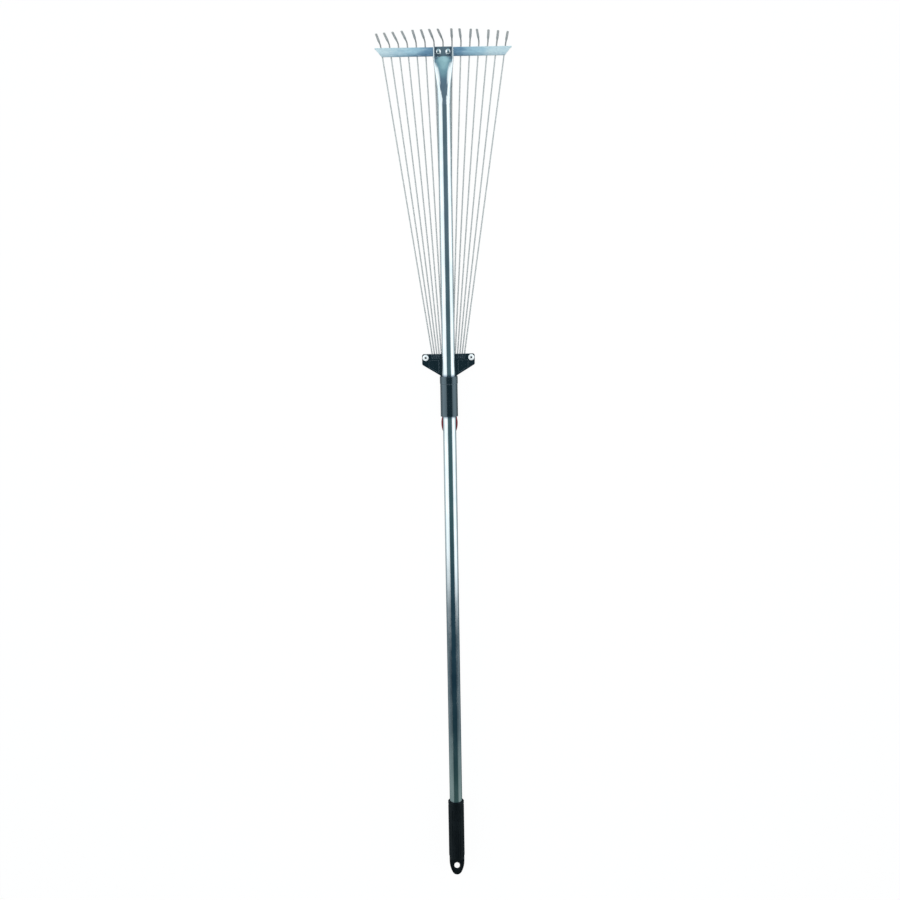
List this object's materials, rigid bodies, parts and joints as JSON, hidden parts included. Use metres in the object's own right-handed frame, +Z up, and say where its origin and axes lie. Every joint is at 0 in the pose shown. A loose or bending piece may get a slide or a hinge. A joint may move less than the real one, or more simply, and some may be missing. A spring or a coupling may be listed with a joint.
{
  "type": "leaf rake",
  "caption": "Adjustable leaf rake: a long tube with a grip, a crossbar, and spring tines in a sliding holder that fans them out and locks with a lever.",
  "frame": {"origin": "under the middle of the rake's length, on the surface that it lies on", "axes": "+Y along the tube to the tine tips, +Z up the way the hooks point, +X across the head"},
  "size_m": [0.252, 1.64, 0.0471],
  "materials": {
    "tube_metal": "bright zinc-plated steel tube",
    "grip_rubber": "moulded black grip, matt",
    "galvanised_sheet": "galvanised sheet, satin",
    "fastener_steel": "zinc-plated fasteners",
    "black_plastic": "glossy black moulding",
    "red_plastic": "glossy dark red moulding",
    "tine_wire": "galvanised spring wire"
  },
  "bodies": {
    "handle": {"handle_tube": "tube_metal", "grip": "grip_rubber", "crossbar": "galvanised_sheet", "crossbar_rivets": "fastener_steel"},
    "slider": {"slider_sleeve": "black_plastic", "wing_back_plate": "black_plastic", "wing_screws": "fastener_steel", "wing_nuts": "fastener_steel", "lever_pin": "fastener_steel", "tine_08": "tine_wire"},
    "lock_lever": {"lock_lever": "red_plastic"},
    "tine_01": {"tine_01": "tine_wire"},
    "tine_02": {"tine_02": "tine_wire"},
    "tine_03": {"tine_03": "tine_wire"},
    "tine_04": {"tine_04": "tine_wire"},
    "tine_05": {"tine_05": "tine_wire"},
    "tine_06": {"tine_06": "tine_wire"},
    "tine_07": {"tine_07": "tine_wire"},
    "tine_09": {"tine_09": "tine_wire"},
    "tine_10": {"tine_10": "tine_wire"},
    "tine_11": {"tine_11": "tine_wire"},
    "tine_12": {"tine_12": "tine_wire"},
    "tine_13": {"tine_13": "tine_wire"},
    "tine_14": {"tine_14": "tine_wire"},
    "tine_15": {"tine_15": "tine_wire"}
  },
  "joints": [
    {"name": "slider_slide", "type": "slide", "parent": "handle", "child": "slider", "axis": [0, 1, 0], "range_m": [0, 0.25]},
    {"name": "lock_lever_flip", "type": "hinge", "parent": "slider", "child": "lock_lever", "pos_m": [0, 0.132, 0.004], "axis": [1, 0, 0], "range_deg": [0, 105]},
    {"name": "tine_01_pivot", "type": "hinge", "parent": "slider", "child": "tine_01", "pos_m": [-0.02961, 0.2245, 0.0045], "axis": [0, 0, 1], "range_deg": [0, 6.34]},
    {"name": "tine_02_pivot", "type": "hinge", "parent": "slider", "child": "tine_02", "pos_m": [-0.02538, 0.2245, 0.0045], "axis": [0, 0, 1], "range_deg": [0, 5.49]},
    {"name": "tine_03_pivot", "type": "hinge", "parent": "slider", "child": "tine_03", "pos_m": [-0.02115, 0.2245, 0.0045], "axis": [0, 0, 1], "range_deg": [0, 4.62]},
    {"name": "tine_04_pivot", "type": "hinge", "parent": "slider", "child": "tine_04", "pos_m": [-0.01692, 0.2245, 0.0045], "axis": [0, 0, 1], "range_deg": [0, 3.73]},
    {"name": "tine_05_pivot", "type": "hinge", "parent": "slider", "child": "tine_05", "pos_m": [-0.01269, 0.2245, 0.0045], "axis": [0, 0, 1], "range_deg": [0, 2.81]},
    {"name": "tine_06_pivot", "type": "hinge", "parent": "slider", "child": "tine_06", "pos_m": [-0.00846, 0.2245, 0.0045], "axis": [0, 0, 1], "range_deg": [0, 1.88]},
    {"name": "tine_07_pivot", "type": "hinge", "parent": "slider", "child": "tine_07", "pos_m": [-0.00423, 0.2245, 0.0045], "axis": [0, 0, 1], "range_deg": [0, 0.9439]},
    {"name": "tine_09_pivot", "type": "hinge", "parent": "slider", "child": "tine_09", "pos_m": [0.00423, 0.2245, 0.0045], "axis": [0, 0, 1], "range_deg": [-0.9439, 0]},
    {"name": "tine_10_pivot", "type": "hinge", "parent": "slider", "child": "tine_10", "pos_m": [0.00846, 0.2245, 0.0045], "axis": [0, 0, 1], "range_deg": [-1.88, 0]},
    {"name": "tine_11_pivot", "type": "hinge", "parent": "slider", "child": "tine_11", "pos_m": [0.01269, 0.2245, 0.0045], "axis": [0, 0, 1], "range_deg": [-2.81, 0]},
    {"name": "tine_12_pivot", "type": "hinge", "parent": "slider", "child": "tine_12", "pos_m": [0.01692, 0.2245, 0.0045], "axis": [0, 0, 1], "range_deg": [-3.73, 0]},
    {"name": "tine_13_pivot", "type": "hinge", "parent": "slider", "child": "tine_13", "pos_m": [0.02115, 0.2245, 0.0045], "axis": [0, 0, 1], "range_deg": [-4.62, 0]},
    {"name": "tine_14_pivot", "type": "hinge", "parent": "slider", "child": "tine_14", "pos_m": [0.02538, 0.2245, 0.0045], "axis": [0, 0, 1], "range_deg": [-5.49, 0]},
    {"name": "tine_15_pivot", "type": "hinge", "parent": "slider", "child": "tine_15", "pos_m": [0.02961, 0.2245, 0.0045], "axis": [0, 0, 1], "range_deg": [-6.34, 0]}
  ],
  "couplings": [
    {"joint": "tine_01_pivot", "follows": "slider_slide", "rad_per_m": 0.44206},
    {"joint": "tine_02_pivot", "follows": "slider_slide", "rad_per_m": 0.38312},
    {"joint": "tine_03_pivot", "follows": "slider_slide", "rad_per_m": 0.3223},
    {"joint": "tine_04_pivot", "follows": "slider_slide", "rad_per_m": 0.25986},
    {"joint": "tine_05_pivot", "follows": "slider_slide", "rad_per_m": 0.19609},
    {"joint": "tine_06_pivot", "follows": "slider_slide", "rad_per_m": 0.13131},
    {"joint": "tine_07_pivot", "follows": "slider_slide", "rad_per_m": 0.065828},
    {"joint": "tine_09_pivot", "follows": "slider_slide", "rad_per_m": -0.065828},
    {"joint": "tine_10_pivot", "follows": "slider_slide", "rad_per_m": -0.13131},
    {"joint": "tine_11_pivot", "follows": "slider_slide", "rad_per_m": -0.19609},
    {"joint": "tine_12_pivot", "follows": "slider_slide", "rad_per_m": -0.25986},
    {"joint": "tine_13_pivot", "follows": "slider_slide", "rad_per_m": -0.3223},
    {"joint": "tine_14_pivot", "follows": "slider_slide", "rad_per_m": -0.38312},
    {"joint": "tine_15_pivot", "follows": "slider_slide", "rad_per_m": -0.44206}
  ]
}
